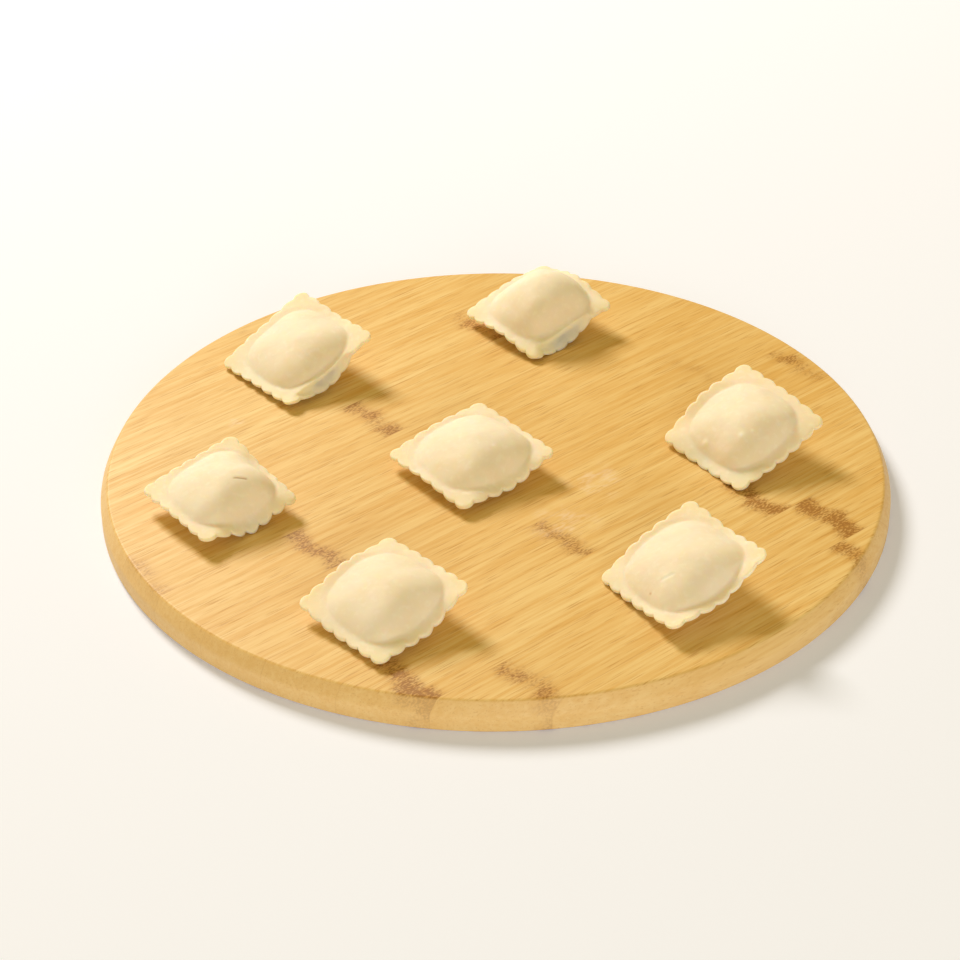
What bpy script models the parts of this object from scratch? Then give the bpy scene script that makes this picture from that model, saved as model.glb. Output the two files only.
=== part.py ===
"""Square vareniki with fluted edges, lying raw on a round bamboo board.

Units are metres, +Z is up. The origin is the middle of the board's underside, and
the board is seen from its -Y side. Every varenik is one shut solid of dough: a domed
filling on top, a softer belly below that it lies on, and a thin fluted rim between
them that curls a little differently on each one.
"""

import math
from dataclasses import dataclass

import bmesh
import bpy
from mathutils import Matrix, Vector

MM = 0.001

COLLECTION = "vareniki_on_board"

# Board
BOARD_RADIUS = 150.0 * MM
BOARD_THICKNESS = 12.0 * MM
TOP_BEVEL_WIDTH = 2.8 * MM
TOP_BEVEL_HEIGHT = 5.3 * MM
FOOT_BEVEL = 0.8 * MM
BOARD_STEPS = 96
AXIS_MERGE = 0.02 * MM

# What every varenik shares
REST_GAP = 0.3 * MM  # air between the belly and the board
SAG = 1.0 * MM  # how far the soft belly flattens under its own weight
DOUGH_THICKNESS = 1.6 * MM  # the rim's two sheets, pressed together
CORNER_RADIUS = 3.5 * MM  # the round lobe at each corner
CORNER_INSET = 1.0  # how far that lobe's middle lies inside the corner, in its radii
CORNER_SWEEP = math.radians(88)  # half of that lobe's arc
FLUTE_DEPTH = 1.15 * MM
LIP_FLUTE_LOSS = 0.12  # how much shallower the flutes are for each unit that the lip hangs down
FLUTE_SHARPNESS = 0.7  # under 1, the lobes are round and the notches narrow
LOBES_PER_SIDE = 5
PITCHES_PER_SIDE = LOBES_PER_SIDE + 1
SQUARENESS = 3.0  # 2 is a round filling, more is a squarer one
DOME_FALL = (1.4, 2.5)  # at the back left and the front right: the lower, the longer the slope
DOME_FULLNESS = (0.95, 0.7)  # at the same two places: the lower, the steeper the foot
BELLY_FALL = 2.6
BELLY_FULLNESS = 0.9
WIDEST_FOOT = 0.90  # share of the way to the cut edge that the foot may take
CORNER_SOFTNESS = 3.0 * MM  # how soft the crease from the middle to each corner is
RIM_REACH = 1.02  # where the curl's values hold, in shares of the way to the plain square
LIP_INSET = 3.8 * MM  # how far inside the softened square the lip starts to hang down
LIP_WIDTH = 1.8 * MM
LIP_MIDDLE = 0.4  # the lip's middle and half its length, in shares of the way
LIP_SPAN = 0.4  # from the front corner to the right one

# The dough's grid
SEGMENTS_PER_LOBE = 3
SEGMENTS_PER_CORNER = 4
DOME_RINGS = (0.30, 0.56, 0.80, 1.0)  # shares of the way from the dome's middle to its foot
RIM_RINGS = (0.5, 1.0)  # shares of the way from that foot to the cut edge
MERIDIANS_PER_SIDE = SEGMENTS_PER_CORNER + LOBES_PER_SIDE * SEGMENTS_PER_LOBE
MERIDIANS = 4 * MERIDIANS_PER_SIDE
RINGS_PER_FACE = len(DOME_RINGS) + len(RIM_RINGS)
RINGS = 2 * RINGS_PER_FACE
CRISP_ANGLE = math.radians(50)  # an edge that bends more than this is left unsmoothed

BAMBOO_COLOUR = (0.78, 0.49, 0.18, 1.0)
BAMBOO_ROUGHNESS = 0.55
DOUGH_COLOUR = (0.93, 0.84, 0.64, 1.0)
DOUGH_ROUGHNESS = 0.7


@dataclass(frozen=True)
class Varenik:
    """One varenik, in millimetres. Unturned, its corners point right, back, left and front.

    slope is the rise of the rim's plane along X and Y. foot is how far the filling reaches
    towards each side, and peak is where the dome is highest. corner_curl and side_curl are
    how far the rim is bent up there, or down where they are negative, and they run
    anticlockwise: the corners from the right one, and the sides from the one between the
    right and the back corner. lip is how far the rim hangs down at its front-right side.
    """

    name: str
    place: tuple[float, float]
    turn_deg: float
    slope: tuple[float, float]
    half_side: float
    foot: float
    dome: float
    peak: tuple[float, float]
    belly: float
    corner_curl: tuple[float, float, float, float] = (0, 0, 0, 0)
    side_curl: tuple[float, float, float, float] = (0, 0, 0, 0)
    lip: float = 0


VARENIKI = (
    Varenik(
        name="varenik_rear_left",
        place=(-79, 67),
        turn_deg=-6,
        slope=(0.3, 0.3),
        half_side=22,
        foot=19,
        dome=8,
        peak=(3, -2),
        belly=8,
        corner_curl=(0, 0, 0, 3),
        side_curl=(-2, 0, 2, 0),
        lip=5,
    ),
    Varenik(
        name="varenik_rear_middle",
        place=(18, 101),
        turn_deg=-6,
        slope=(0.15, 0.2),
        half_side=21,
        foot=18.5,
        dome=14,
        peak=(4, 2),
        belly=10,
        corner_curl=(-3, -5, -2, -2),
        side_curl=(1, -2, 1, -1),
        lip=6,
    ),
    Varenik(
        name="varenik_right",
        place=(94, 5),
        turn_deg=-10,
        slope=(0.3, 0.35),
        half_side=21.5,
        foot=18.5,
        dome=9,
        peak=(2, -2),
        belly=9,
        corner_curl=(-3, -1, -2, 1),
        side_curl=(-1, 3, -3, -3),
    ),
    Varenik(
        name="varenik_left",
        place=(-102, -33),
        turn_deg=-6,
        slope=(0.05, 0.15),
        half_side=20,
        foot=18,
        dome=9,
        peak=(5, 0),
        belly=9,
        corner_curl=(-4, 1, -1, 1),
        side_curl=(-4, 0, 1, -9),
    ),
    Varenik(
        name="varenik_centre",
        place=(-9, -7),
        turn_deg=-6,
        slope=(0.1, 0.1),
        half_side=22,
        foot=20,
        dome=9,
        peak=(4, 0),
        belly=8,
        corner_curl=(-1, -1, 0, -1),
        side_curl=(-2, 1, 1, -6),
    ),
    Varenik(
        name="varenik_front_left",
        place=(-39, -101),
        turn_deg=-3,
        slope=(0.15, 0.25),
        half_side=21,
        foot=18.5,
        dome=9,
        peak=(3, -1),
        belly=8,
        corner_curl=(2, -3, 1, 1),
        side_curl=(-1, 2, -1, -4),
    ),
    Varenik(
        name="varenik_front_right",
        place=(66, -86),
        turn_deg=-12,
        slope=(0.3, 0.2),
        half_side=21.5,
        foot=19.5,
        dome=9,
        peak=(2, -2),
        belly=9,
        corner_curl=(3, 1, -2, 3),
        side_curl=(-1, 2, -1, -2),
    ),
)


def clear_scene():
    """Remove every object that the scene starts with."""
    for obj in list(bpy.data.objects):
        bpy.data.objects.remove(obj, do_unlink=True)


def make_material(name, colour, roughness):
    """A plain Principled material."""
    material = bpy.data.materials.new(name)
    material.use_nodes = True
    shader = material.node_tree.nodes["Principled BSDF"]
    shader.inputs["Base Color"].default_value = colour
    shader.inputs["Roughness"].default_value = roughness
    shader.inputs["Metallic"].default_value = 0.0
    return material


def add_object(name, mesh, material, collection):
    """Put a mesh in the collection as an object with one material."""
    mesh.materials.append(material)
    obj = bpy.data.objects.new(name, mesh)
    collection.objects.link(obj)
    return obj


def board_profile():
    """Half of the board's cross-section, from the middle of its top to that of its foot."""
    return (
        (0.0, BOARD_THICKNESS),
        (BOARD_RADIUS - TOP_BEVEL_WIDTH, BOARD_THICKNESS),
        (BOARD_RADIUS, BOARD_THICKNESS - TOP_BEVEL_HEIGHT),
        (BOARD_RADIUS, FOOT_BEVEL),
        (BOARD_RADIUS - FOOT_BEVEL, 0.0),
        (0.0, 0.0),
    )


def build_board(material, collection):
    """The round board, its profile turned about Z."""
    mesh = bpy.data.meshes.new("board")
    points = [(x, 0.0, z) for x, z in board_profile()]
    edges = [(i, i + 1) for i in range(len(points) - 1)]
    mesh.from_pydata(points, edges, [])
    board = add_object("board", mesh, material, collection)
    screw = board.modifiers.new("turned", "SCREW")
    screw.axis = "Z"
    screw.angle = math.tau
    screw.steps = BOARD_STEPS
    screw.render_steps = BOARD_STEPS
    screw.use_merge_vertices = True
    screw.merge_threshold = AXIS_MERGE
    screw.use_smooth_shade = False
    return board


def lobe_at(meridian):
    """How many lobes a meridian is from the right corner, whose lobe runs from -0.5 to 0.5."""
    corner, step = divmod(meridian, MERIDIANS_PER_SIDE)
    lobe = step / SEGMENTS_PER_CORNER
    if step > SEGMENTS_PER_CORNER:
        lobe = 1.0 + (step - SEGMENTS_PER_CORNER) / SEGMENTS_PER_LOBE
    return corner * PITCHES_PER_SIDE + lobe - 0.5


def corner_lobe_point(varenik, corner, angle):
    """A point of the round lobe at a corner, at an angle from that corner's own direction."""
    heading = math.radians(90.0 * corner)
    tip = varenik.half_side * MM * math.sqrt(2.0)
    middle = Vector((math.cos(heading), math.sin(heading))) * (tip - CORNER_INSET * CORNER_RADIUS)
    spoke = Vector((math.cos(heading + angle), math.sin(heading + angle)))
    return middle + spoke * CORNER_RADIUS


def edge_point(varenik, lobe):
    """The rim in plan at a count of lobes from the right corner: (unfluted, fluted)."""
    corner = math.floor((lobe + 0.5) / PITCHES_PER_SIDE)
    along = lobe - corner * PITCHES_PER_SIDE
    if along <= 0.5:
        point = corner_lobe_point(varenik, corner, along / 0.5 * CORNER_SWEEP)
        return point, point
    start = corner_lobe_point(varenik, corner, CORNER_SWEEP)
    end = corner_lobe_point(varenik, corner + 1, -CORNER_SWEEP)
    point = start.lerp(end, (along - 0.5) / LOBES_PER_SIDE)
    outward = Vector((end.y - start.y, start.x - end.x)).normalized()
    swell = max(math.sin(math.pi * ((along - 0.5) % 1.0)), 0.0) ** FLUTE_SHARPNESS
    depth = FLUTE_DEPTH - (LIP_FLUTE_LOSS * varenik.lip * MM if corner == 3 else 0.0)
    return point, point + outward * depth * swell


def foot_share(varenik, offset):
    """0 at the dome's peak, 1 at the filling's rounded-square foot and more on the rim."""
    shift_x, shift_y = varenik.peak
    total = 0.0
    for step, shift in (
        (offset.x + offset.y, shift_x + shift_y),
        (offset.y - offset.x, shift_y - shift_x),
    ):
        reach = (math.sqrt(2.0) * varenik.foot - shift * math.copysign(1.0, step)) * MM
        total += abs(step / reach) ** SQUARENESS
    return total ** (1.0 / SQUARENESS)


def soft_reach(step, tip):
    """The share of the way to a corner, with a soft turn where the next quarter starts."""
    soft = CORNER_SOFTNESS
    return (math.hypot(step, soft) - soft + soft * (step / tip) ** 2) / tip


def lip_hang(varenik, beyond, share):
    """How far the lip hangs down, at a share of the way from the front corner to the right one."""
    fall = min(max((beyond + LIP_INSET) / LIP_WIDTH, 0.0), 1.0)
    window = max(1.0 - ((share - LIP_MIDDLE) / LIP_SPAN) ** 2, 0.0)
    return varenik.lip * MM * fall * (2.0 - fall) * window


def curl_height(varenik, plan):
    """How far the rim's plane is bent up at a point: not at all in the middle, most at the edge."""
    tip = varenik.half_side * MM * math.sqrt(2.0)
    across = soft_reach(plan.x, tip)
    along = soft_reach(plan.y, tip)
    reach = max(across + along, 0.001)
    if plan.x > 0.0:
        quarter, share = (0, along / reach) if plan.y >= 0.0 else (3, across / reach)
    else:
        quarter, share = (1, across / reach) if plan.y > 0.0 else (2, along / reach)
    curls = [v for pair in zip(varenik.corner_curl, varenik.side_curl) for v in pair]
    place = 2.0 * (quarter + share)
    step = math.floor(place)
    ease = 0.5 - 0.5 * math.cos(math.pi * (place - step))
    bend = curls[step % 8] * (1.0 - ease) + curls[(step + 1) % 8] * ease
    height = bend * MM * (reach / RIM_REACH) ** 3
    if quarter == 3:
        height -= lip_hang(varenik, (reach - 1.0) * varenik.half_side * MM, share)
    return height


def dome_height(varenik, offset, share):
    """How far the filling stands over the rim's plane, at a point given from the dome's peak."""
    front = 0.5 + 0.5 * (offset.x - offset.y) / (math.sqrt(2.0) * max(offset.length, 0.001 * MM))
    front = front**2 * (3.0 - 2.0 * front)
    fall = DOME_FALL[0] + (DOME_FALL[1] - DOME_FALL[0]) * front
    fullness = DOME_FULLNESS[0] + (DOME_FULLNESS[1] - DOME_FULLNESS[0]) * front
    return varenik.dome * MM * (1.0 - min(share, 1.0) ** fall) ** fullness


def belly_depth(varenik, share):
    """How far the filling hangs below the rim's plane."""
    return varenik.belly * MM * (1.0 - min(share, 1.0) ** BELLY_FALL) ** BELLY_FULLNESS


def ring_reach(ring, foot):
    """Share of the way out to the cut edge of a ring counted from the pole."""
    if ring == 0:
        return 0.0
    if ring <= len(DOME_RINGS):
        return foot * DOME_RINGS[ring - 1]
    return foot + (1.0 - foot) * RIM_RINGS[ring - len(DOME_RINGS) - 1]


def dough_point(varenik, ring, meridian):
    """A point of the dough's skin, from ring 0 at the top pole to the last at the bottom."""
    lobe = lobe_at(meridian)
    middle = Vector(varenik.peak) * MM
    plain, fluted = edge_point(varenik, lobe)
    foot = min(1.0 / foot_share(varenik, plain - middle), WIDEST_FOOT)
    on_top = ring <= RINGS_PER_FACE
    reach = ring_reach(ring if on_top else RINGS + 1 - ring, foot)
    flute = max((reach - foot) / (1.0 - foot), 0.0)
    offset = (plain.lerp(fluted, flute) - middle) * reach
    height = curl_height(varenik, middle + offset)
    share = foot_share(varenik, offset)
    if on_top:
        height += DOUGH_THICKNESS / 2 + dome_height(varenik, offset, share)
    else:
        height -= DOUGH_THICKNESS / 2 + belly_depth(varenik, share)
    return Vector((middle.x + offset.x, middle.y + offset.y, height))


def resting_frame(varenik):
    """The turn and lean of the rim's plane, as a rotation matrix."""
    slope_x, slope_y = varenik.slope
    up = Vector((-slope_x, -slope_y, 1.0)).normalized()
    along_x = Vector((1.0, 0.0, slope_x)).normalized()
    along_y = up.cross(along_x)
    turn = Matrix.Rotation(math.radians(varenik.turn_deg), 3, "Z")
    return Matrix((along_x, along_y, up)).transposed() @ turn


def settle(bm, frame):
    """Flatten the belly where it lies on the board, and return the rim's height over it."""
    lowest = min((frame @ vert.co).z for vert in bm.verts)
    height = REST_GAP - SAG - lowest
    for vert in bm.verts:
        point = frame @ vert.co
        point.z = max(point.z, REST_GAP - height)
        vert.co = frame.transposed() @ point
    return height


def build_varenik(varenik, material, collection):
    """One varenik, a sphere's grid drawn out to its rim, dome and belly."""
    bm = bmesh.new()
    bmesh.ops.create_uvsphere(bm, u_segments=MERIDIANS, v_segments=RINGS + 1, radius=1.0)
    for vert in bm.verts:
        ring = round(math.acos(max(-1.0, min(1.0, vert.co.z))) * (RINGS + 1) / math.pi)
        meridian = round(math.atan2(vert.co.y, vert.co.x) * MERIDIANS / math.tau)
        vert.co = dough_point(varenik, ring, meridian % MERIDIANS)
    frame = resting_frame(varenik)
    height = settle(bm, frame)
    bmesh.ops.recalc_face_normals(bm, faces=bm.faces[:])
    mesh = bpy.data.meshes.new(varenik.name)
    bm.to_mesh(mesh)
    bm.free()
    mesh.shade_smooth()
    mesh.set_sharp_from_angle(angle=CRISP_ANGLE)
    obj = add_object(varenik.name, mesh, material, collection)
    x, y = varenik.place
    obj.location = (x * MM, y * MM, BOARD_THICKNESS + height)
    obj.rotation_euler = frame.to_euler()
    return obj


def main():
    """Build the board and everything on it."""
    clear_scene()
    collection = bpy.data.collections.new(COLLECTION)
    bpy.context.scene.collection.children.link(collection)
    bamboo = make_material("bamboo", BAMBOO_COLOUR, BAMBOO_ROUGHNESS)
    dough = make_material("dough", DOUGH_COLOUR, DOUGH_ROUGHNESS)
    build_board(bamboo, collection)
    for varenik in VARENIKI:
        build_varenik(varenik, dough, collection)


if __name__ == "__main__":
    main()
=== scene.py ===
"""Raw square vareniki on a round bamboo board: the looks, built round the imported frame.

Everything is in metres, +Z up. The origin is the middle of the board's underside, and the
board is seen from its -Y side. The board is turned from its rounded profile and dressed
as oiled bamboo strips. Each varenik is made of two sheets of dough, which start as flat
grids and are drawn out to a domed filling above, a soft belly below and a fluted rim.
"""

from __future__ import annotations

import logging
import math
from collections.abc import Iterator, Sequence
from dataclasses import dataclass
from enum import Enum

import bmesh
import bpy
from mathutils import Matrix, Vector, noise

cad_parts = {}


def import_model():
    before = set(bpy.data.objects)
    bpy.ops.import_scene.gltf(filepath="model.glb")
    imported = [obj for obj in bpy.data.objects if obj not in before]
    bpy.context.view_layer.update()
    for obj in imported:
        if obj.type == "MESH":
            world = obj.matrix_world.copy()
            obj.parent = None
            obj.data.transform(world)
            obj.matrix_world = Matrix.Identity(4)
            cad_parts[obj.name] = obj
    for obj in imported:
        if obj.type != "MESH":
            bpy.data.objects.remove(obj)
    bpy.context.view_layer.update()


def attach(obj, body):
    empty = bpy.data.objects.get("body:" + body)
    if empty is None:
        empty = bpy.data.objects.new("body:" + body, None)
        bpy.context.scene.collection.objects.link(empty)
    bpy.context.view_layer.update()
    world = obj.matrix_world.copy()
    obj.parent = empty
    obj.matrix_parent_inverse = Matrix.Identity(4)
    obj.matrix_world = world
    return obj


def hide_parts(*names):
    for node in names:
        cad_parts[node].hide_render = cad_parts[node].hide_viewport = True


MM = 0.001
# As good as nothing beside a varenik's millimetres and shares
TINY = 0.001
BODY = "root"

Socket = bpy.types.NodeSocket
Value = Socket | float
Pair = tuple[float, float]
Three = tuple[float, float, float]
Four = tuple[float, float, float, float]
Colour = Three

# The Mix node's sockets for colours
MIX_SHARE = 0
MIX_FIRST = 6
MIX_SECOND = 7
MIX_RESULT = 2

log = logging.getLogger("vareniki")


class Slot(Enum):
    """The record's material slots."""

    BAMBOO = "bamboo"
    DOUGH = "dough"


class Trace(Enum):
    """The marks that a varenik's skin carries as attributes, for its finish to read."""

    THIN = "thin"
    FLOURY = "floury"
    # The split mark's dark colour is painted shade down in the crack.
    SPLIT = "split_shade"


class Graph:
    """A material's node tree, with a short method for each kind of node the finishes use."""

    def __init__(self, name: str) -> None:
        """Start a material that holds one Principled shader.

        Args:
            name: The material's name.
        """
        self.material = bpy.data.materials.new(name)
        self.material.use_nodes = True
        self.tree = self.material.node_tree
        self.shader = self.tree.nodes["Principled BSDF"]

    def add(self, kind: str, **settings: object) -> bpy.types.Node:
        """Add a node.

        Args:
            kind: The node's type, without its ShaderNode prefix.
            **settings: The properties to set on it.

        Returns:
            The new node.
        """
        node = self.tree.nodes.new("ShaderNode" + kind)
        for name, value in settings.items():
            setattr(node, name, value)
        return node

    def feed(self, socket: Socket, value: Value | Sequence[float]) -> None:
        """Link an output to an input, or set the input to a constant.

        Args:
            socket: The input.
            value: An output, a number or a colour.
        """
        if isinstance(value, bpy.types.NodeSocket):
            self.tree.links.new(value, socket)
        else:
            socket.default_value = value

    def surface(self, settings: dict[str, Value | Sequence[float]]) -> None:
        """Feed the shader's inputs, which are given by their names."""
        for name, value in settings.items():
            self.feed(self.shader.inputs[name], value)

    def math(self, operation: str, *values: Value) -> Socket:
        """Work out a number.

        Args:
            operation: The Math node's operation.
            *values: Its inputs.

        Returns:
            The result.
        """
        node = self.add("Math", operation=operation)
        for socket, value in zip(node.inputs, values):
            self.feed(socket, value)
        return node.outputs[0]

    def times(self, *values: Value) -> Socket:
        """Multiply two or more numbers."""
        product = values[0]
        for value in values[1:]:
            product = self.math("MULTIPLY", product, value)
        return product

    def rise(self, value: Value, low: float, high: float, top: float = 1.0) -> Socket:
        """Go smoothly from 0 at low to top at high."""
        node = self.add("MapRange", interpolation_type="SMOOTHSTEP")
        for name, number in (("Value", value), ("From Min", low), ("From Max", high), ("To Max", top)):
            self.feed(node.inputs[name], number)
        return node.outputs["Result"]

    def fall(self, value: Value, low: float, high: float) -> Socket:
        """Go smoothly from 1 at low to 0 at high."""
        return self.math("SUBTRACT", 1.0, self.rise(value, low, high))

    def noise(self, vector: Socket, cells: Three, detail: float = 1.0) -> Socket:
        """Noise from 0 to 1.

        Args:
            vector: Where to read it.
            cells: How many cells there are in a metre, along each axis.
            detail: How many finer layers it has.

        Returns:
            The noise.
        """
        counted = self.add("VectorMath", operation="MULTIPLY")
        self.feed(counted.inputs[0], vector)
        self.feed(counted.inputs[1], cells)
        node = self.add("TexNoise")
        self.feed(node.inputs["Vector"], counted.outputs[0])
        self.feed(node.inputs["Scale"], 1.0)
        self.feed(node.inputs["Detail"], detail)
        return node.outputs["Fac"]

    def mix(self, share: Value, first: Value | Colour, second: Value | Colour) -> Socket:
        """Mix two colours.

        Args:
            share: How much of the second colour there is.
            first: The colour at 0.
            second: The colour at 1.

        Returns:
            The mixed colour.
        """
        node = self.add("Mix", data_type="RGBA")
        self.feed(node.inputs[MIX_SHARE], share)
        for socket, colour in ((MIX_FIRST, first), (MIX_SECOND, second)):
            self.feed(node.inputs[socket], (*colour, 1.0) if isinstance(colour, tuple) else colour)
        return node.outputs[MIX_RESULT]

    def attribute(self, name: str) -> Socket:
        """Read a number that the mesh carries."""
        return self.add("Attribute", attribute_name=name).outputs["Fac"]

    def bump(self, height: Socket, distance: float, strength: float) -> None:
        """Roughen the shader's surface.

        Args:
            height: The relief, from 0 to 1.
            distance: What 1 is, in metres.
            strength: How much of it shows.
        """
        node = self.add("Bump")
        self.feed(node.inputs["Height"], height)
        node.inputs["Distance"].default_value = distance
        node.inputs["Strength"].default_value = strength
        self.feed(self.shader.inputs["Normal"], node.outputs["Normal"])


@dataclass(frozen=True)
class Knuckle:
    """A brown band across one strip, where the cane had a joint. Lengths are in millimetres."""

    strip: int
    along: float
    width: float
    depth: float


@dataclass(frozen=True)
class FlourPatch:
    """A hazy patch of flour on the board, in millimetres."""

    centre: Pair
    radius: float
    strength: float


@dataclass(frozen=True)
class BambooFinish:
    """Oiled bamboo: strips glued side by side, with fibres, pores, knuckles and some flour.

    Cells are how many cells of a pattern there are in a metre, along the grain, across it
    and up. A range is where a pattern comes in or, for the gleam and the side, goes out. A
    share is how much of it shows. Blotches make the knuckles patchy, from their base up.
    """

    board_top: float
    name: str = "oiled_bamboo"
    grain_turn: float = math.radians(41.0)
    strip_width: float = 27.5 * MM
    first_seam: float = -14.5 * MM
    seam_width: float = 0.35 * MM
    waviness: float = 1.4 * MM
    wave_cells: Three = (7.0, 22.0, 22.0)
    strip_shift: float = 0.37
    pale: Colour = (0.86, 0.66, 0.30)
    deep: Colour = (0.72, 0.44, 0.115)
    fibre: Colour = (0.50, 0.24, 0.035)
    knuckle: Colour = (0.31, 0.125, 0.012)
    flour: Colour = (0.90, 0.76, 0.62)
    end_grain: Colour = (0.86, 0.60, 0.28)
    streak_cells: Three = (9.0, 170.0, 170.0)
    band_cells: Three = (26.0, 700.0, 700.0)
    thread_cells: Three = (70.0, 2000.0, 2000.0)
    streak_share: float = 0.55
    band_share: float = 0.75
    tone_range: Pair = (0.38, 0.92)
    strip_share: float = 0.32
    seam_share: float = 0.4
    gleam_range: Pair = (0.28, 0.42)
    gleam_share: float = 0.35
    pore_range: Pair = (0.58, 0.74)
    pore_share: float = 0.65
    side_range: Pair = (0.55, 0.95)
    side_share: float = 0.55
    fray_cells: Three = (90.0, 420.0, 420.0)
    fray: float = 8.0 * MM
    bow_cells: Three = (0.0, 75.0, 75.0)
    bow: float = 9.0 * MM
    blotch_cells: Three = (55.0, 120.0, 120.0)
    blotch_range: Pair = (0.35, 0.6)
    blotch_base: float = 0.6
    blotch_share: float = 0.6
    fleck_cells: Three = (650.0, 1500.0, 1500.0)
    fleck_range: Pair = (0.25, 0.7)
    dark_range: Pair = (0.1, 0.7)
    stain_share: float = 0.6
    dark_share: float = 0.8
    cloud_cells: Three = (110.0, 110.0, 110.0)
    cloud_range: Pair = (0.38, 0.62)
    powder_cells: Three = (300.0, 900.0, 900.0)
    powder_range: Pair = (0.25, 0.7)
    patch_heart: float = 0.3
    roughness: float = 0.42
    band_roughness: float = 0.16
    flour_roughness: float = 0.4
    specular: float = 0.45
    relief: float = 0.12 * MM
    relief_strength: float = 0.5
    knuckles: tuple[Knuckle, ...] = (
        Knuckle(strip=2, along=-16, width=9, depth=0.8),
        Knuckle(strip=0, along=-88, width=8, depth=0.75),
        Knuckle(strip=1, along=-143, width=8, depth=0.4),
        Knuckle(strip=-3, along=-113, width=9, depth=1.0),
        Knuckle(strip=-4, along=-82, width=9, depth=0.7),
        Knuckle(strip=-2, along=-16, width=8, depth=0.55),
        Knuckle(strip=-4, along=66, width=9, depth=0.95),
        Knuckle(strip=-3, along=55, width=9, depth=0.9),
        Knuckle(strip=-5, along=55, width=8, depth=0.7),
        Knuckle(strip=3, along=62, width=9, depth=0.7),
        Knuckle(strip=-1, along=137, width=8, depth=0.7),
        Knuckle(strip=0, along=103, width=6, depth=0.3),
    )
    patches: tuple[FlourPatch, ...] = (
        FlourPatch(centre=(-102, 30), radius=6, strength=0.7),
        FlourPatch(centre=(37, -15), radius=17, strength=0.45),
        FlourPatch(centre=(25, -43), radius=17, strength=0.4),
    )

    def make(self) -> bpy.types.Material:
        """Make the material.

        Returns:
            Bamboo whose grain runs the same way on the top, the bevel and the side.
        """
        graph = Graph(self.name)
        place = graph.add("TexCoord").outputs["Object"]
        grain, along, count, strip = self._grain(graph, place)
        streaks = graph.noise(grain, self.streak_cells, 2.0)
        bands = graph.noise(grain, self.band_cells, 2.0)
        threads = graph.noise(grain, self.thread_cells)
        pores = graph.rise(threads, *self.pore_range)
        tone = graph.times(streaks, self.streak_share)
        tone = graph.math("ADD", tone, graph.times(bands, self.band_share))
        colour = graph.mix(graph.rise(tone, *self.tone_range), self.pale, self.deep)
        colour = self._strips(graph, colour, count, strip)
        gleam = graph.times(graph.fall(threads, *self.gleam_range), self.gleam_share)
        colour = graph.mix(gleam, colour, self.pale)
        colour = graph.mix(graph.times(pores, self.pore_share), colour, self.fibre)
        colour = self._knuckles(graph, colour, grain, along, strip)
        colour = graph.mix(graph.times(self._side(graph), self.side_share), colour, self.end_grain)
        flour = self._flour(graph, place, grain)
        colour = graph.mix(flour, colour, self.flour)
        rough = graph.math("ADD", self.roughness, graph.times(bands, self.band_roughness))
        rough = graph.math("ADD", rough, graph.times(flour, self.flour_roughness))
        graph.surface({"Base Color": colour, "Roughness": rough, "Specular IOR Level": self.specular})
        relief = graph.math("SUBTRACT", graph.times(bands, 0.5), graph.times(pores, 0.5))
        graph.bump(relief, self.relief, self.relief_strength)
        return graph.material

    def _grain(self, graph: Graph, place: Socket) -> tuple[Socket, Socket, Socket, Socket]:
        """Turn the coordinates to run along the strips.

        Args:
            graph: The material's nodes.
            place: The Object coordinates.

        Returns:
            The grain's own coordinates, how far along the grain a point is, how many
            strips across it is from the first seam, and the number of its strip.
        """
        turned = graph.add("Mapping")
        graph.feed(turned.inputs["Vector"], place)
        turned.inputs["Rotation"].default_value = (0.0, 0.0, -self.grain_turn)
        parts = graph.add("SeparateXYZ")
        graph.feed(parts.inputs[0], turned.outputs[0])
        wave = graph.noise(turned.outputs[0], self.wave_cells)
        wander = graph.times(graph.math("SUBTRACT", wave, 0.5), self.waviness)
        across = parts.outputs["Y"]
        count = graph.math("DIVIDE", graph.math("SUBTRACT", across, self.first_seam), self.strip_width)
        strip = graph.math("FLOOR", count)
        shifted = graph.add("CombineXYZ")
        own_start = graph.times(strip, self.strip_shift)
        graph.feed(shifted.inputs["X"], graph.math("ADD", parts.outputs["X"], own_start))
        graph.feed(shifted.inputs["Y"], graph.math("ADD", across, wander))
        graph.feed(shifted.inputs["Z"], parts.outputs["Z"])
        return shifted.outputs[0], parts.outputs["X"], count, strip

    def _strips(self, graph: Graph, colour: Socket, count: Socket, strip: Socket) -> Socket:
        """Give each strip its own tone, and draw the glued seams.

        Args:
            graph: The material's nodes.
            colour: The colour so far.
            count: How many strips across a point is from the first seam.
            strip: The strip's number.

        Returns:
            The new colour.
        """
        own = graph.add("TexWhiteNoise", noise_dimensions="1D")
        graph.feed(own.inputs["W"], graph.math("ADD", strip, 0.5))
        colour = graph.mix(graph.times(own.outputs["Value"], self.strip_share), colour, self.deep)
        off = graph.math("ABSOLUTE", graph.math("SUBTRACT", count, graph.math("ROUND", count)))
        seam = graph.fall(off, 0.0, self.seam_width / self.strip_width)
        return graph.mix(graph.times(seam, self.seam_share), colour, self.fibre)

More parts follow.
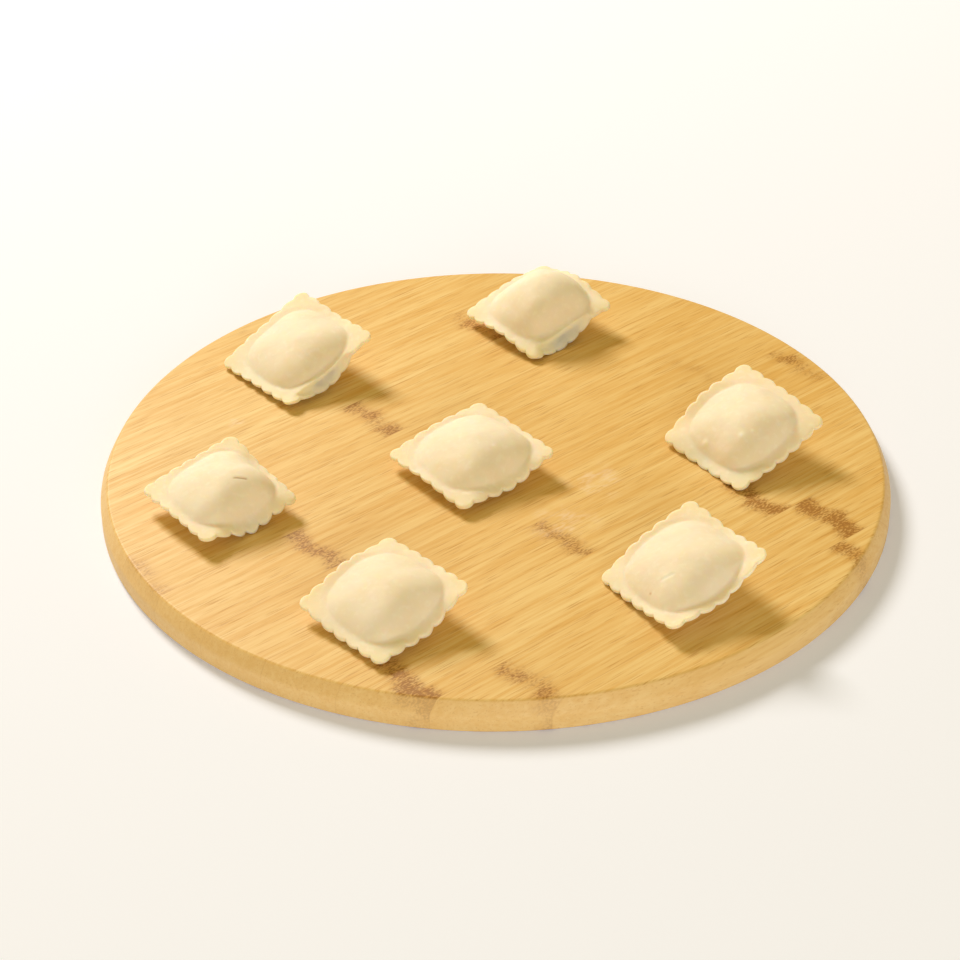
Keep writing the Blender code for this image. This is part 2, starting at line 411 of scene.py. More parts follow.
    def _knuckles(
        self, graph: Graph, colour: Socket, grain: Socket, along: Socket, strip: Socket
    ) -> Socket:
        """Lay the brown bands across the strips.

        Args:
            graph: The material's nodes.
            colour: The colour so far.
            grain: The grain's own coordinates.
            along: How far along the grain a point is.
            strip: The strip's number.

        Returns:
            The new colour.
        """
        frayed = graph.math("SUBTRACT", graph.noise(grain, self.fray_cells, 4.0), 0.5)
        bowed = graph.math("SUBTRACT", graph.noise(grain, self.bow_cells, 0.0), 0.5)
        ragged = graph.math("ADD", along, graph.times(frayed, self.fray))
        ragged = graph.math("ADD", ragged, graph.times(bowed, self.bow))
        blotches = graph.noise(grain, self.blotch_cells, 2.0)
        blotches = graph.rise(blotches, *self.blotch_range, self.blotch_share)
        patchy = graph.math("ADD", self.blotch_base, blotches)
        band: Value = 0.0
        for knuckle in self.knuckles:
            off = graph.math("ABSOLUTE", graph.math("SUBTRACT", ragged, knuckle.along * MM))
            near = graph.times(graph.fall(off, 0.0, knuckle.width * MM), patchy)
            here = graph.math("COMPARE", strip, float(knuckle.strip), 0.5)
            band = graph.math("MAXIMUM", band, graph.times(near, here, knuckle.depth))
        flecks = graph.rise(graph.noise(grain, self.fleck_cells, 2.0), *self.fleck_range)
        dark = graph.rise(graph.times(band, flecks), *self.dark_range)
        colour = graph.mix(graph.times(band, self.stain_share), colour, self.fibre)
        return graph.mix(graph.times(dark, self.dark_share), colour, self.knuckle)

    def _side(self, graph: Graph) -> Socket:
        """Tell the bevel and the side, where the fibres end, from the flat top."""
        normal = graph.add("SeparateXYZ")
        graph.feed(normal.inputs[0], graph.add("NewGeometry").outputs["Normal"])
        return graph.fall(graph.math("ABSOLUTE", normal.outputs["Z"]), *self.side_range)

    def _flour(self, graph: Graph, place: Socket, grain: Socket) -> Socket:
        """Scatter the patches of flour.

        Args:
            graph: The material's nodes.
            place: The Object coordinates.
            grain: The grain's own coordinates.

        Returns:
            How floury each point is.
        """
        cloud = graph.rise(graph.noise(place, self.cloud_cells, 3.0), *self.cloud_range)
        powder = graph.rise(graph.noise(grain, self.powder_cells), *self.powder_range)
        broken = graph.times(cloud, powder)
        total: Value = 0.0
        for patch in self.patches:
            gap = graph.add("VectorMath", operation="DISTANCE")
            graph.feed(gap.inputs[0], place)
            x, y = patch.centre
            gap.inputs[1].default_value = (x * MM, y * MM, self.board_top)
            heart = self.patch_heart * patch.radius * MM
            near = graph.fall(gap.outputs["Value"], heart, patch.radius * MM)
            total = graph.math("MAXIMUM", total, graph.times(near, broken, patch.strength))
        return total


@dataclass(frozen=True)
class DoughFinish:
    """Raw dough under a breath of flour, yellower where it is thin, with painted shade down in its
    splits.
    """

    name: str = "raw_dough"
    body: Colour = (0.88, 0.815, 0.69)
    warm: Colour = (0.86, 0.775, 0.58)
    thin: Colour = (0.88, 0.78, 0.48)
    flour: Colour = (0.96, 0.92, 0.82)
    # Painted shade down in a split.
    split_shade: Colour = (0.62, 0.47, 0.27)
    cloud_cells: Three = (90.0, 90.0, 90.0)
    grain_cells: Three = (1400.0, 1400.0, 1400.0)
    dust_cells: Three = (420.0, 420.0, 420.0)
    warm_range: Pair = (0.4, 0.75)
    warm_share: float = 0.5
    thin_share: float = 0.5
    dust_range: Pair = (0.5, 0.72)
    dust_share: float = 0.35
    roughness: float = 0.62
    grain_roughness: float = 0.2
    specular: float = 0.3
    subsurface_colours: Colour = (1.0, 0.72, 0.45)
    subsurface_reach: float = 2.5 * MM
    grain_relief: float = 0.55
    dust_relief: float = 0.45
    relief: float = 0.1 * MM
    relief_strength: float = 0.35

    def make(self) -> bpy.types.Material:
        """Make the material.

        Returns:
            Matte dough that lets a little light through.
        """
        graph = Graph(self.name)
        place = graph.add("TexCoord").outputs["Object"]
        cloud = graph.noise(place, self.cloud_cells, 3.0)
        grain = graph.noise(place, self.grain_cells, 2.0)
        dust = graph.noise(place, self.dust_cells, 3.0)
        warmth = graph.rise(cloud, *self.warm_range, self.warm_share)
        colour = graph.mix(warmth, self.body, self.warm)
        thinness = graph.times(graph.attribute(Trace.THIN.value), self.thin_share)
        colour = graph.mix(thinness, colour, self.thin)
        powder = graph.rise(dust, *self.dust_range, self.dust_share)
        powder = graph.math("ADD", powder, graph.attribute(Trace.FLOURY.value))
        colour = graph.mix(powder, colour, self.flour)
        # Darken the split marks with painted shade.
        colour = graph.mix(graph.attribute(Trace.SPLIT.value), colour, self.split_shade)
        rough = graph.math("ADD", self.roughness, graph.times(grain, self.grain_roughness))
        graph.surface(
            {
                "Base Color": colour,
                "Roughness": rough,
                "Specular IOR Level": self.specular,
                "Subsurface Weight": 1.0,
                "Subsurface Radius": self.subsurface_colours,
                "Subsurface Scale": self.subsurface_reach,
            }
        )
        relief = graph.math(
            "ADD", graph.times(grain, self.grain_relief), graph.times(dust, self.dust_relief)
        )
        graph.bump(relief, self.relief, self.relief_strength)
        return graph.material


@dataclass(frozen=True)
class FloorFinish:
    """Plain pale floor that glows a little, so that it stays almost white."""

    name: str = "pale_floor"
    colour: Colour = (0.82, 0.88, 0.98)
    glow: Colour = (0.08, 0.11, 0.20)
    roughness: float = 0.9
    specular: float = 0.1

    def make(self) -> bpy.types.Material:
        """Make the material.

        Returns:
            A matte material with no pattern.
        """
        graph = Graph(self.name)
        graph.surface(
            {
                "Base Color": (*self.colour, 1.0),
                "Emission Color": (*self.glow, 1.0),
                "Emission Strength": 1.0,
                "Roughness": self.roughness,
                "Specular IOR Level": self.specular,
            }
        )
        return graph.material


def add_piece(name: str, shape: bmesh.types.BMesh, material: bpy.types.Material) -> bpy.types.Object:
    """Make a smooth-shaded object of a finished shape, and free the shape.

    Args:
        name: The object's name.
        shape: Its geometry, in place.
        material: Its finish.

    Returns:
        The object, at the origin.
    """
    mesh = bpy.data.meshes.new(name)
    shape.to_mesh(mesh)
    shape.free()
    mesh.shade_smooth()
    mesh.materials.append(material)
    piece = bpy.data.objects.new(name, mesh)
    bpy.context.scene.collection.objects.link(piece)
    return piece


def dress(piece: bpy.types.Object, node: str) -> None:
    """Let a piece stand for a node of the frame.

    Args:
        piece: The piece.
        node: The node that it replaces.
    """
    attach(piece, BODY)
    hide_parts(node)
    log.info("%s: %d faces, in place of %s", piece.name, len(piece.data.polygons), node)


@dataclass
class Board:
    """The round bamboo board, its arrises softened by sanding."""

    radius: float = 150.0 * MM
    thickness: float = 12.0 * MM
    bevel_width: float = 2.8 * MM
    bevel_height: float = 5.3 * MM
    foot_bevel: float = 0.8 * MM
    steps: int = 256
    arris_radius: float = 0.9 * MM
    arris_segments: int = 5
    level_tolerance: float = 0.01 * MM
    crisp_angle: float = math.radians(35.0)

    def outline(self) -> list[Vector]:
        """The rim's profile, from the edge of the top to that of the foot."""
        corners = (
            (self.radius - self.bevel_width, self.thickness),
            (self.radius, self.thickness - self.bevel_height),
            (self.radius, self.foot_bevel),
            (self.radius - self.foot_bevel, 0.0),
        )
        return [Vector((x, 0.0, z)) for x, z in corners]

    def shape(self) -> bmesh.types.BMesh:
        """Turn the profile about Z, close it above and below, and round its arrises.

        Returns:
            The board's closed shape.
        """
        bm = bmesh.new()
        verts = [bm.verts.new(point) for point in self.outline()]
        edges = [bm.edges.new(pair) for pair in zip(verts, verts[1:])]
        bmesh.ops.spin(
            bm, geom=verts + edges, cent=(0.0, 0.0, 0.0), axis=(0.0, 0.0, 1.0),
            angle=math.tau, steps=self.steps, use_merge=True,
        )
        bmesh.ops.holes_fill(bm, edges=bm.edges[:])
        bmesh.ops.recalc_face_normals(bm, faces=bm.faces[:])
        arrises = [edge for edge in bm.edges if self._is_arris(edge)]
        bmesh.ops.bevel(
            bm, geom=arrises, affect="EDGES", offset=self.arris_radius, offset_type="OFFSET",
            segments=self.arris_segments, profile=0.5, clamp_overlap=True, material=-1,
        )
        return bm

    def _is_arris(self, edge: bmesh.types.BMEdge) -> bool:
        """Tell the two upper arrises, which run round the board, from the other edges."""
        low, high = sorted(vert.co.z for vert in edge.verts)
        return high - low < self.level_tolerance and low > self.foot_bevel + self.level_tolerance

    def build(self, material: bpy.types.Material) -> None:
        """Make the board and put it in place of its node.

        Args:
            material: Its finish.
        """
        piece = add_piece("bamboo_board", self.shape(), material)
        piece.data.set_sharp_from_angle(angle=self.crisp_angle)
        dress(piece, "board")


class Zone(Enum):
    """The parts of a sheet of dough, from its middle outwards."""

    FILLING = "filling"
    FLANGE = "flange"
    CUT = "cut"


@dataclass(frozen=True)
class Ring:
    """One ring of a sheet. Its share runs from 0 to 1 within its zone."""

    zone: Zone
    share: float
    inset: float = 0.0
    height: float = 1.0


@dataclass(frozen=True)
class Dough:
    """What every varenik shares. Lengths are in millimetres.

    The dome's fall and fullness are given at the back left and at the front right: a low
    fall makes its slope long and even, and a low fullness makes it steep at its foot.
    side_thinness is the edge's thinness at a side's middle, where at a corner it is 1, and
    thinness_reach is how far a corner's goes, in shares of a side. Each of the relief's
    waves is given by its height and its reach. From the thinness firm_from on, they are
    less by rim_firmness. The skin is drawn in by relief_inset on the filling, and not any
    more from the thinness inset_until on.
    """

    rest_gap: float = 0.3
    sag: float = 1.0
    thickness: float = 1.6
    corner_radius: float = 3.5
    corner_inset: float = 1.0
    corner_sweep: float = math.radians(88.0)
    flute_depth: float = 1.15
    lip_flute_loss: float = 0.12
    flute_sharpness: float = 0.7
    lobes_per_side: int = 5
    squareness: float = 3.0
    dome_fall: Pair = (1.4, 2.5)
    dome_fullness: Pair = (0.95, 0.7)
    belly_fall: float = 2.6
    belly_fullness: float = 0.9
    widest_foot: float = 0.90
    corner_softness: float = 3.0
    rim_reach: float = 1.02
    lip_inset: float = 3.8
    lip_width: float = 1.8
    lip_middle: float = 0.4
    lip_span: float = 0.4
    foot_softness: float = 0.09
    smoothed_foot: Pair = (0.93, 1.12)
    smoothings: int = 3
    normal_step: float = 0.1
    filling_rings: int = 44
    flange_rings: int = 10
    ring_crowding: float = 1.4
    side_thinness: float = 0.25
    thinness_reach: float = 0.3
    relief_waves: tuple[Pair, ...] = ((0.42, 13.0), (0.16, 5.0), (0.045, 1.9))
    rim_firmness: float = 0.75
    firm_from: float = 0.5
    relief_inset: float = 0.3
    inset_until: float = 0.25
    crease_depth: float = 0.15
    crease_width: float = 1.0
    cut_inset: float = 0.7
    cut_profile: tuple[Pair, ...] = (
        (0.50, 0.97), (0.22, 0.86), (0.05, 0.66),
        (0.00, 0.40), (0.00, 0.14), (0.06, 0.00),
    )

    @property
    def pitches_per_side(self) -> int:
        """The flutes between two corners, with half a corner lobe at each end."""
        return self.lobes_per_side + 1

    def rings(self) -> list[Ring]:
        """The rings of one sheet, from its middle to the seam of the cut edge.

        Returns:
            The filling's rings, which draw together at its foot, then the flange's and the cut's.
        """
        rings = []
        for step in range(self.filling_rings + 1):
            left = 1.0 - step / self.filling_rings
            rings.append(Ring(Zone.FILLING, 1.0 - left**self.ring_crowding))
        for step in range(1, self.flange_rings + 1):
            rings.append(Ring(Zone.FLANGE, step / self.flange_rings))
        for inset, height in self.cut_profile:
            rings.append(Ring(Zone.CUT, 1.0, inset, height))
        return rings


class Side(Enum):
    """The two sheets of dough."""

    TOP = 1
    BELLY = -1


@dataclass(frozen=True)
class Mark:
    """A small mark on the upper skin, placed from the varenik's middle. Lengths are in millimetres."""

    trace: Trace
    place: Pair
    width: float
    height: float
    length: float = 0.0
    turn_deg: float = 0.0

    def strength(self, plan: Vector) -> float:
        """How much of the mark there is at a point.

        Args:
            plan: The point in plan.

        Returns:
            1 along the mark, and almost 0 a little beside it.
        """
        offset = plan - Vector(self.place)
        heading = math.radians(self.turn_deg)
        along = offset.x * math.cos(heading) + offset.y * math.sin(heading)
        across = offset.y * math.cos(heading) - offset.x * math.sin(heading)
        past_end = max(abs(along) - self.length / 2.0, 0.0)
        return math.exp(-(past_end**2 + across**2) / (self.width / 2.0) ** 2)


@dataclass
class Varenik:
    """One varenik, in millimetres. Unturned, its corners point right, back, left and front.

    slope is the rise of the rim's plane along X and Y. foot is how far the filling reaches
    towards each side, and peak is where the dome is highest. corner_curl and side_curl are
    how far the rim is bent up there, or down where they are negative, and they run
    anticlockwise: the corners from the right one, and the sides from the one between the
    right and the back corner. lip is how far the rim hangs down at its front-right side,
    and marks are the small marks on the upper skin.
    """

    name: str
    place: Pair
    turn_deg: float
    slope: Pair
    half_side: float
    foot: float
    dome: float
    peak: Pair
    belly: float
    corner_curl: Four = (0, 0, 0, 0)
    side_curl: Four = (0, 0, 0, 0)
    lip: float = 0
    marks: tuple[Mark, ...] = ()
    dough: Dough = Dough()

    @property
    def tip(self) -> float:
        """How far the plain square's corners are from its middle."""
        return self.half_side * math.sqrt(2.0)

    def _corner_lobe(self, corner: int, angle: float) -> Vector:
        """A point of the round lobe at a corner.

        Args:
            corner: The corner's number.
            angle: The point's direction from the lobe's middle, 0 being straight out.

        Returns:
            The point in plan.
        """
        heading = math.radians(90.0 * corner)
        radius = self.dough.corner_radius
        reach = self.tip - self.dough.corner_inset * radius
        middle = Vector((math.cos(heading), math.sin(heading))) * reach
        return middle + Vector((math.cos(heading + angle), math.sin(heading + angle))) * radius

    def _edge(self, lobe: float) -> Vector:
        """The cut edge in plan.

        Args:
            lobe: How many lobes it is from the right corner, anticlockwise.

        Returns:
            The point of the edge.
        """
        dough = self.dough
        corner = math.floor((lobe + 0.5) / dough.pitches_per_side)
        along = lobe - corner * dough.pitches_per_side
        if along <= 0.5:
            return self._corner_lobe(corner, along / 0.5 * dough.corner_sweep)
        start = self._corner_lobe(corner, dough.corner_sweep)
        end = self._corner_lobe(corner + 1, -dough.corner_sweep)
        outward = Vector((end.y - start.y, start.x - end.x)).normalized()
        swell = max(math.sin(math.pi * ((along - 0.5) % 1.0)), 0.0) ** dough.flute_sharpness
        depth = dough.flute_depth - (dough.lip_flute_loss * self.lip if corner == 3 else 0.0)
        return start.lerp(end, (along - 0.5) / dough.lobes_per_side) + outward * depth * swell

    def _edge_normal(self, lobe: float) -> Vector:
        """The direction straight out of the cut edge."""
        step = self._edge(lobe + self.dough.normal_step) - self._edge(lobe - self.dough.normal_step)
        return Vector((step.y, -step.x)).normalized()

    def _square(self, lobe: float) -> Vector:
        """The plain square that the flutes and the corner lobes stand on."""
        share = lobe / self.dough.pitches_per_side
        corner = math.floor(share)
        tips = []
        for number in (corner, corner + 1):
            heading = math.radians(90.0 * number)
            tips.append(Vector((math.cos(heading), math.sin(heading))) * self.tip)
        return tips[0].lerp(tips[1], share - corner)

    def _foot_share(self, offset: Vector) -> float:
        """Tell how near a point is to the filling's rounded-square foot.

        Args:
            offset: The point, from the dome's peak.

        Returns:
            0 at the peak, 1 at the foot and more on the rim.
        """
        shift_x, shift_y = self.peak
        total = 0.0
        for step, shift in (
            (offset.x + offset.y, shift_x + shift_y),
            (offset.y - offset.x, shift_y - shift_x),
        ):
            reach = math.sqrt(2.0) * self.foot - shift * math.copysign(1.0, step)
            total += abs(step / reach) ** self.dough.squareness
        return total ** (1.0 / self.dough.squareness)

    def _curl(self, plan: Vector) -> float:
        """How far the rim's plane is bent up at a point: not at all in the middle, most at the edge.

        Args:
            plan: The point in plan.

        Returns:
            The height of the bend.
        """
        across = self._reach(plan.x)
        along = self._reach(plan.y)
        reach = max(across + along, TINY)
        if plan.x > 0.0:
            quarter, share = (0, along / reach) if plan.y >= 0.0 else (3, across / reach)
        else:
            quarter, share = (1, across / reach) if plan.y > 0.0 else (2, along / reach)
        values = [value for pair in zip(self.corner_curl, self.side_curl) for value in pair]
        place = 2.0 * (quarter + share)
        step = math.floor(place)
        ease = 0.5 - 0.5 * math.cos(math.pi * (place - step))
        bend = values[step % 8] * (1.0 - ease) + values[(step + 1) % 8] * ease
        height = bend * (reach / self.dough.rim_reach) ** 3
        if quarter == 3:
            height -= self._hang((reach - 1.0) * self.half_side, share)
        return height

    def _reach(self, step: float) -> float:
        """The share of the way to a corner, with a soft turn where the next quarter starts."""
        soft = self.dough.corner_softness
        return (math.hypot(step, soft) - soft + soft * (step / self.tip) ** 2) / self.tip

    def _hang(self, beyond: float, share: float) -> float:
        """How far the lip hangs down at a point.

        Args:
            beyond: How far the point is outside the plain square, in millimetres.
            share: The point's share of the way from the front corner to the right one.

        Returns:
            The fall, in millimetres.
        """
        dough = self.dough
        fall = min(max((beyond + dough.lip_inset) / dough.lip_width, 0.0), 1.0)
        off = (share - dough.lip_middle) / dough.lip_span
        return self.lip * fall * (2.0 - fall) * max(1.0 - off**2, 0.0)

    def _dome_height(self, offset: Vector, share: float) -> float:
        """How far the filling stands over the rim's plane.

        Args:
            offset: The point in plan, from the dome's peak.
            share: Its share of the way to the filling's foot.

        Returns:
            The height.
        """
        front = 0.5 + 0.5 * (offset.x - offset.y) / (math.sqrt(2.0) * max(offset.length, TINY))
        front = front**2 * (3.0 - 2.0 * front)
        fall = self._between(self.dough.dome_fall, front)
        fullness = self._between(self.dough.dome_fullness, front)
        return self.dome * self._soft(1.0 - share**fall) ** fullness

    def _between(self, ends: Pair, share: float) -> float:
        """The value at a share of the way from the first to the second."""
        return ends[0] + (ends[1] - ends[0]) * share

    def _point(self, ring: Ring, lobe: float, side: Side) -> Vector:
        """A point of the skin before the varenik is turned and laid down.

        Args:
            ring: The ring it is on.
            lobe: How many lobes it is from the right corner.
            side: The sheet that it is on.

        Returns:
            The point, in millimetres from the middle of the rim's plane.
        """
        dough = self.dough
        middle = Vector(self.peak)
        square = self._square(lobe) - middle
        foot = middle + square * min(1.0 / self._foot_share(square), dough.widest_foot)
        edge = self._edge(lobe)
        outward = self._edge_normal(lobe)
        if ring.zone is Zone.FILLING:
            plan = middle.lerp(foot, ring.share)
        elif ring.zone is Zone.FLANGE:
            plan = foot.lerp(edge - outward * dough.cut_inset, ring.share)
        else:
            plan = edge - outward * ring.inset
        share = self._foot_share(plan - middle)
        beyond = (share - 1.0) * self.half_side / dough.crease_width
        top = dough.thickness / 2.0 - dough.crease_depth * math.exp(-(beyond**2))
        top += self._dome_height(plan - middle, share)
        bottom = -dough.thickness / 2.0
        bottom -= self.belly * self._soft(1.0 - share**dough.belly_fall) ** dough.belly_fullness
        seam = (top + bottom) / 2.0
        top += sum(mark.height * mark.strength(plan) for mark in self.marks)
        skin = top if side is Side.TOP else bottom
        return Vector((plan.x, plan.y, self._curl(plan) + seam + ring.height * (skin - seam)))

    def _soft(self, share: float) -> float:
        """The share where it is above 0, and almost 0 where it is below, with a soft turn between."""
        return (share + math.hypot(share, self.dough.foot_softness)) / 2.0

    def _frame(self) -> Matrix:
        """The turn and lean of the rim's plane."""
        slope_x, slope_y = self.slope
        up = Vector((-slope_x, -slope_y, 1.0)).normalized()
        along_x = Vector((1.0, 0.0, slope_x)).normalized()
        turn = Matrix.Rotation(math.radians(self.turn_deg), 3, "Z")
        return Matrix((along_x, up.cross(along_x), up)).transposed() @ turn

    def _sheet(self, bm: bmesh.types.BMesh, side: Side, rings: list[Ring]) -> None:
        """Draw a flat grid out to one sheet of dough.

        Args:
            bm: The shape that the sheet is added to.
            side: Which sheet it is.
            rings: The rings of the sheet.
        """
        marks = self.marks if side is Side.TOP else ()
        reach = len(rings) - 1
        grid = bmesh.ops.create_grid(bm, x_segments=2 * reach, y_segments=2 * reach, size=float(reach))
        thin = bm.verts.layers.float[Trace.THIN.value]
        for vert in grid["verts"]:
            number, lobe = self._grid_place(vert.co)
            ring = rings[number]
            vert.co = self._point(ring, lobe, side)
            vert[thin] = self._thinness(ring, lobe)
            for mark in marks:
                trace = bm.verts.layers.float[mark.trace.value]
                vert[trace] = max(vert[trace], mark.strength(vert.co.xy))
        if side is Side.BELLY:
            faces = {face for vert in grid["verts"] for face in vert.link_faces}
            bmesh.ops.reverse_faces(bm, faces=list(faces))

    def _grid_place(self, spot: Vector) -> tuple[int, float]:
        """Read a grid point as a square ring and a place on it.

        Args:
            spot: The point of the grid, in whole steps from its middle.

        Returns:
            The ring's number, and the count of lobes from the right corner.
        """
        x, y = round(spot.x), round(spot.y)
        ring = max(abs(x), abs(y))
        if ring == 0:
            return 0, 0.0
        if y == ring and x > -ring:
            side, share = 0, (ring - x) / (2 * ring)
        elif x == -ring and y > -ring:
            side, share = 1, (ring - y) / (2 * ring)
        elif y == -ring and x < ring:
            side, share = 2, (x + ring) / (2 * ring)
        else:
            side, share = 3, (y + ring) / (2 * ring)
        return ring, (side + share) * self.dough.pitches_per_side

    def _thinness(self, ring: Ring, lobe: float) -> float:
        """How much the dough's thinness shows: most at the tips of the corners."""
        if ring.zone is Zone.FILLING:
            return 0.0
        dough = self.dough
        from_corner = abs((lobe / dough.pitches_per_side + 0.5) % 1.0 - 0.5)
        corner = max(1.0 - from_corner / dough.thinness_reach, 0.0)
        return ring.share * (dough.side_thinness + (1.0 - dough.side_thinness) * corner)

    def _relief(self, bm: bmesh.types.BMesh) -> None:
        """Make the skin uneven, as soft dough is, most on the dome and least on the cut edge."""
        bm.normal_update()
        dough = self.dough
        own = Vector((*self.place, 0.0))
        thin = bm.verts.layers.float[Trace.THIN.value]
        moves = []
        for vert in bm.verts:
            spot = vert.co + own
            swell = 0.0
            for height, reach in dough.relief_waves:
                swell += height * noise.noise(spot / reach)
            swell *= 1.0 - dough.rim_firmness * min(vert[thin] / dough.firm_from, 1.0)
            swell -= dough.relief_inset * (1.0 - min(vert[thin] / dough.inset_until, 1.0))
            moves.append(vert.normal * swell)
        for vert, move in zip(bm.verts, moves):
            vert.co += move

    def _settle(self, bm: bmesh.types.BMesh, frame: Matrix) -> float:
        """Flatten the belly where it lies on the board.

        Args:
            bm: The shape, which is turned into place.
            frame: Its turn and lean.

        Returns:
            The height of the rim's plane over the board.
        """
        bmesh.ops.transform(bm, matrix=frame.to_4x4(), verts=bm.verts[:])
        height = self.dough.rest_gap - self.dough.sag - min(vert.co.z for vert in bm.verts)
        for vert in bm.verts:
            vert.co.z = max(vert.co.z, self.dough.rest_gap - height)
        return height

    def shape(self, top: float) -> bmesh.types.BMesh:
        """Make the closed skin, in place on the board.

        Args:
            top: The height of the board's top, in metres.

        Returns:
            The skin, in metres.
        """
        bm = bmesh.new()
        for trace in Trace:
            bm.verts.layers.float.new(trace.value)
        rings = self.dough.rings()
        for side in Side:
            self._sheet(bm, side, rings)
        bmesh.ops.remove_doubles(bm, verts=bm.verts[:], dist=TINY)
        foot = [vert for vert in bm.verts if self._is_by_foot(vert)]
        for _ in range(self.dough.smoothings):
            bmesh.ops.smooth_vert(
                bm, verts=foot, factor=0.5, use_axis_x=True, use_axis_y=True, use_axis_z=True
            )
        self._relief(bm)
        height = self._settle(bm, self._frame())
        x, y = self.place
        bmesh.ops.scale(bm, vec=(MM, MM, MM), verts=bm.verts[:])
        bmesh.ops.translate(bm, vec=(x * MM, y * MM, top + height * MM), verts=bm.verts[:])
        bmesh.ops.recalc_face_normals(bm, faces=bm.faces[:])
        return bm

    def _is_by_foot(self, vert: bmesh.types.BMVert) -> bool:
        """Tell the skin round the filling's foot, where the crease is softened."""
        share = self._foot_share(vert.co.xy - Vector(self.peak))
        low, high = self.dough.smoothed_foot
        return low < share < high and not vert.is_boundary

    def build(self, material: bpy.types.Material, top: float) -> None:
        """Make the varenik and put it in place of its node.

        Args:
            material: Its finish.
            top: The height of the board's top, in metres.
        """
        piece = add_piece(f"dough_{self.name}", self.shape(top), material)
        dress(piece, f"varenik_{self.name}")


def vareniki() -> Iterator[Varenik]:
    """The seven vareniki, from the back to the front."""
    yield Varenik(
        name="rear_left", place=(-79, 67), turn_deg=-6, slope=(0.3, 0.3),
        half_side=22, foot=19, dome=8, peak=(3, -2), belly=8,
        corner_curl=(0, 0, 0, 3), side_curl=(-2, 0, 2, 0), lip=5,
    )
    yield Varenik(
        name="rear_middle", place=(18, 101), turn_deg=-6, slope=(0.15, 0.2),
        half_side=21, foot=18.5, dome=14, peak=(4, 2), belly=10,
        corner_curl=(-3, -5, -2, -2), side_curl=(1, -2, 1, -1), lip=6,
    )
    yield Varenik(
        name="right", place=(94, 5), turn_deg=-10, slope=(0.3, 0.35),
        half_side=21.5, foot=18.5, dome=9, peak=(2, -2), belly=9,
        corner_curl=(-3, -1, -2, 1), side_curl=(-1, 3, -3, -3),
        marks=(
            Mark(Trace.FLOURY, place=(2, -11), width=3, height=0.5),
            Mark(Trace.FLOURY, place=(-14, -8), width=2.4, height=0.45),
            Mark(Trace.FLOURY, place=(6, -9), width=1.4, height=0.2),
        ),
    )
    yield Varenik(
        name="left", place=(-102, -33), turn_deg=-6, slope=(0.05, 0.15),
        half_side=20, foot=18, dome=9, peak=(5, 0), belly=9,
        corner_curl=(-4, 1, -1, 1), side_curl=(-4, 0, 1, -9),
        # This split's dark line is painted shade.
        marks=(Mark(Trace.SPLIT, place=(9.5, -3), width=0.5, height=-0.35, length=4.5, turn_deg=6),),
    )
    yield Varenik(
        name="centre", place=(-9, -7), turn_deg=-6, slope=(0.1, 0.1),
        half_side=22, foot=20, dome=9, peak=(4, 0), belly=8,
        corner_curl=(-1, -1, 0, -1), side_curl=(-2, 1, 1, -6),
        marks=(
            Mark(Trace.FLOURY, place=(3, -23.5), width=0.9, height=-0.35, length=7, turn_deg=8),
            Mark(Trace.FLOURY, place=(10, -6), width=1.4, height=0.15),
        ),
    )
    yield Varenik(
        name="front_left", place=(-39, -101), turn_deg=-3, slope=(0.15, 0.25),
        half_side=21, foot=18.5, dome=9, peak=(3, -1), belly=8,
        corner_curl=(2, -3, 1, 1), side_curl=(-1, 2, -1, -4),
    )
    yield Varenik(
        name="front_right", place=(66, -86), turn_deg=-12, slope=(0.3, 0.2),
        half_side=21.5, foot=19.5, dome=9, peak=(2, -2), belly=9,
        corner_curl=(3, 1, -2, 3), side_curl=(-1, 2, -1, -2),
        marks=(
            Mark(Trace.FLOURY, place=(-3, -11), width=0.9, height=-0.3, length=4.5, turn_deg=12),
            # This split's dark dot is painted shade.
            Mark(Trace.SPLIT, place=(-10, -14), width=0.7, height=-0.15),
        ),
    )


@dataclass(frozen=True)
class Lamp:
    """A round soft light that is aimed at the middle of the board. Lengths are in metres."""

    name: str
    heading: float
    height: float
    distance: float
    width: float
    power: float
    colour: Colour

    def hang(self) -> None:
        """Put the lamp in the scene, out of the camera's sight."""
        data = bpy.data.lights.new(self.name, "AREA")
        data.shape = "DISK"
        data.size = self.width
        data.energy = self.power
        data.color = self.colour
        light = bpy.data.objects.new(self.name, data)
        level = math.cos(self.height)
        x, y = level * math.cos(self.heading), level * math.sin(self.heading)
        towards = Vector((x, y, math.sin(self.height)))
        light.location = towards * self.distance
        light.rotation_euler = towards.to_track_quat("Z", "Y").to_euler()
        light.visible_camera = False
        bpy.context.scene.collection.objects.link(light)


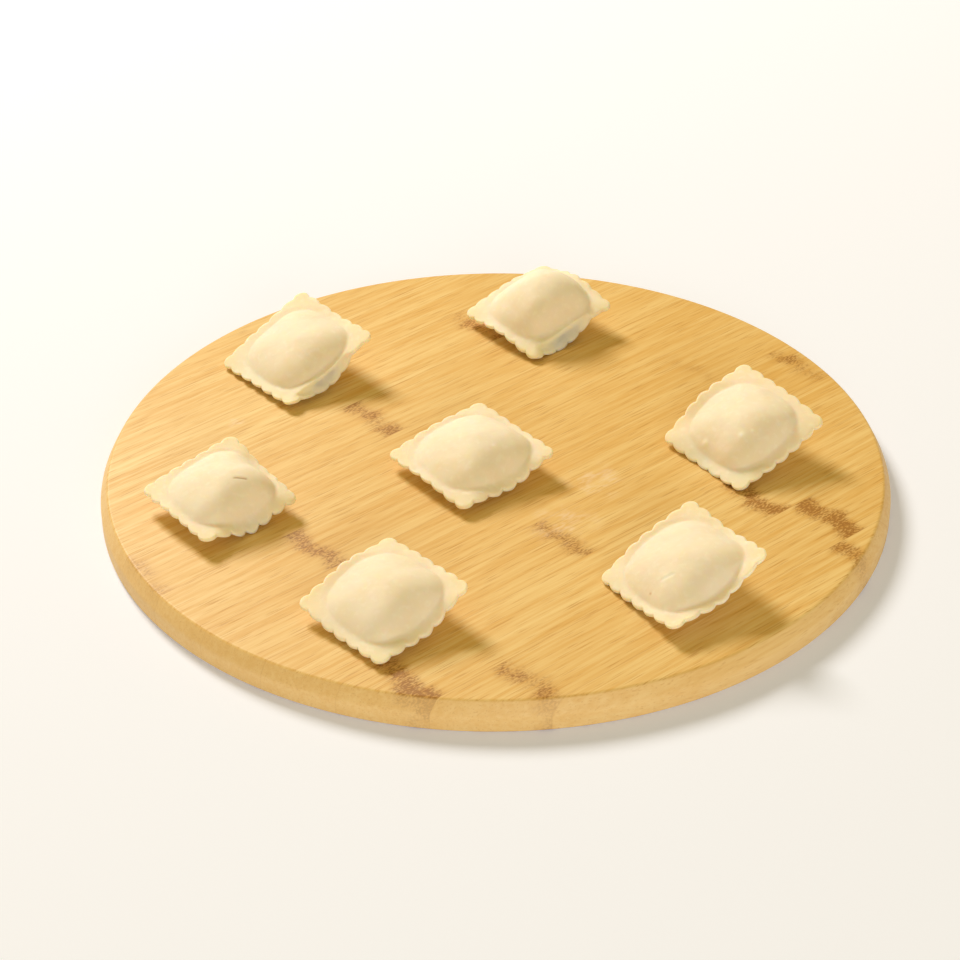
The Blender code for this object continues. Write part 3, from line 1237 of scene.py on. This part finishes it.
@dataclass
class Studio:
    """The camera, the soft light from the back left, a weaker one in front, and the pale floor.

    sight is how near and how far the camera sees, in metres.
    """

    camera_place: Three = (0.0, -0.844, 0.561)
    camera_turn_deg: Three = (56.53, 0.54, 0.04)
    lens_mm: float = 99.0
    sight: Pair = (0.01, 20.0)
    key: Lamp = Lamp(
        name="key_light", heading=math.radians(122.0), height=math.radians(40.0),
        distance=3.0, width=1.0, power=81.0, colour=(1.0, 0.915, 0.84),
    )
    front: Lamp = Lamp(
        name="front_light", heading=math.radians(-78.0), height=math.radians(10.0),
        distance=2.8, width=2.0, power=36.0, colour=(1.0, 0.95, 0.92),
    )
    fill_colour: Colour = (1.0, 0.75, 0.24)
    fill_strength: float = 0.45
    floor_radius: float = 6.0
    floor_gap: float = 0.1 * MM
    floor_segments: int = 96

    def build(self, floor_material: bpy.types.Material) -> None:
        """Set up the camera, the lights and the floor.

        Args:
            floor_material: The floor's finish.
        """
        self._camera()
        self.key.hang()
        self.front.hang()
        self._fill_light()
        self._floor(floor_material)
        bpy.context.scene.view_settings.view_transform = "Standard"

    def _camera(self) -> None:
        """Put the camera where the photograph was taken from."""
        data = bpy.data.cameras.new("camera")
        data.lens = self.lens_mm
        data.clip_start, data.clip_end = self.sight
        camera = bpy.data.objects.new("camera", data)
        camera.location = self.camera_place
        camera.rotation_euler = [math.radians(turn) for turn in self.camera_turn_deg]
        bpy.context.scene.collection.objects.link(camera)
        bpy.context.scene.camera = camera

    def _fill_light(self) -> None:
        """Light everything softly from all round."""
        world = bpy.data.worlds.new("fill")
        world.use_nodes = True
        background = world.node_tree.nodes["Background"]
        background.inputs["Color"].default_value = (*self.fill_colour, 1.0)
        background.inputs["Strength"].default_value = self.fill_strength
        bpy.context.scene.world = world

    def _floor(self, material: bpy.types.Material) -> None:
        """Lay the floor just under the board."""
        bm = bmesh.new()
        bmesh.ops.create_circle(
            bm, cap_ends=True, segments=self.floor_segments, radius=self.floor_radius
        )
        bmesh.ops.translate(bm, vec=(0.0, 0.0, -self.floor_gap), verts=bm.verts[:])
        add_piece("floor", bm, material)


def main() -> None:
    """Build the studio, the board and the vareniki."""
    logging.basicConfig(level=logging.INFO, format="%(name)s: %(message)s")
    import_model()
    Studio().build(FloorFinish().make())
    board = Board()
    board.build(BambooFinish(board.thickness).make())
    dough = DoughFinish().make()
    for varenik in vareniki():
        varenik.build(dough, board.thickness)


if __name__ == "__main__":
    main()
